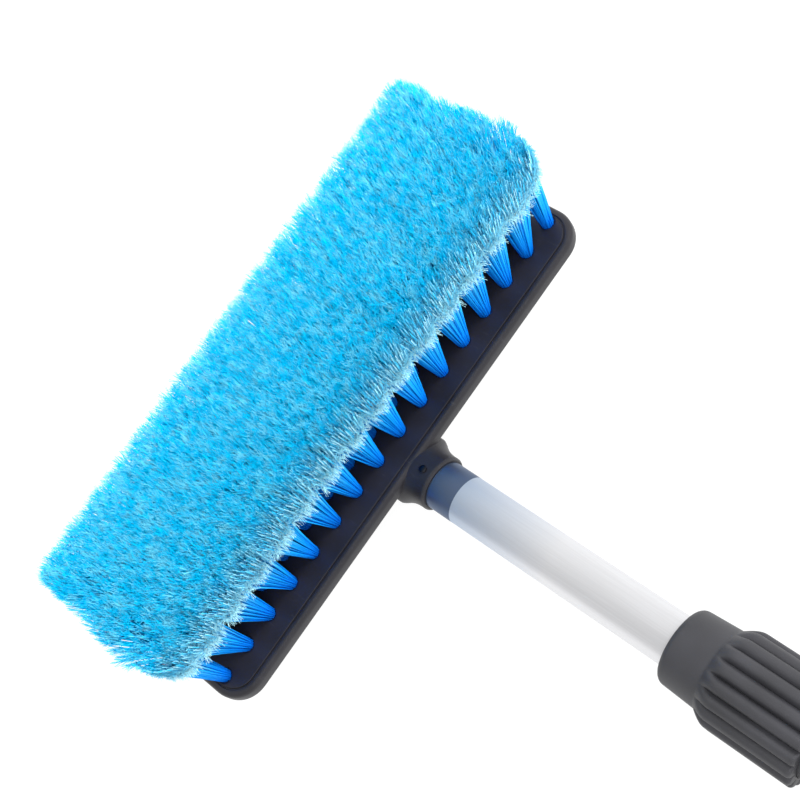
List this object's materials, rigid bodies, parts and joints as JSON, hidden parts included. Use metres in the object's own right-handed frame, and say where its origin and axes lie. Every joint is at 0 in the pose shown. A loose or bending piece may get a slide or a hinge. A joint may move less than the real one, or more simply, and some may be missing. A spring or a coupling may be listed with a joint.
{
  "type": "snow brush scraper",
  "caption": "Long-handled snow brush with a wide bristle head on a telescopic tube, a twist-lock collar, a foam grip and an ice scraper blade at the far end.",
  "frame": {"origin": "middle of the flat land on the back of the brush block, which the tool rests on with its bristles up", "axes": "+X along the handle from the brush head to the scraper, +Y along the brush head, +Z the way the bristles point"},
  "size_m": [0.7778, 0.2548, 0.0949],
  "materials": {
    "block_plastic": "moulded black polypropylene, satin",
    "bristle": "blue flagged bristle",
    "steel": "zinc plated",
    "tube_aluminium": "satin drawn tube",
    "white_plastic": "moulded acetal",
    "rubber_ring": "moulded rubber",
    "collar_plastic": "moulded charcoal plastic, fine matt",
    "grip_foam": "closed-cell foam",
    "blade_plastic": "clear blue polycarbonate"
  },
  "bodies": {
    "head": {"brush_block": "block_plastic", "tuft_row_1": "bristle", "tuft_row_2": "bristle", "tuft_row_3": "bristle", "tuft_row_4": "bristle", "tuft_row_5": "bristle", "tuft_anchors": "steel", "inner_tube": "tube_aluminium", "socket_rivet": "steel", "rear_bush": "white_plastic", "bush_ring": "rubber_ring"},
    "carrier": {"lock_collet": "white_plastic"},
    "handle": {"threaded_sleeve": "collar_plastic", "sleeve_pins": "steel", "outer_tube": "tube_aluminium", "grip_front_ring": "collar_plastic", "grip_sleeve": "grip_foam", "grip_rear_ring": "collar_plastic", "scraper_holder": "block_plastic", "holder_pin": "steel", "scraper_blade": "blade_plastic", "blade_screws": "steel", "blade_nuts": "steel"},
    "collar": {"lock_collar": "collar_plastic"}
  },
  "joints": [
    {"name": "telescope", "type": "slide", "parent": "head", "child": "carrier", "axis": [1, 0, 0], "range_m": [-0.1, 0.19]},
    {"name": "handle_twist", "type": "hinge", "parent": "carrier", "child": "handle", "pos_m": [0.178, 0, 0.0215], "axis": [1, 0, 0], "range_deg": [-180, 180]},
    {"name": "lock_turn", "type": "hinge", "parent": "handle", "child": "collar", "pos_m": [0.208, 0, 0.0215], "axis": [1, 0, 0], "range_deg": [0, 90]}
  ]
}
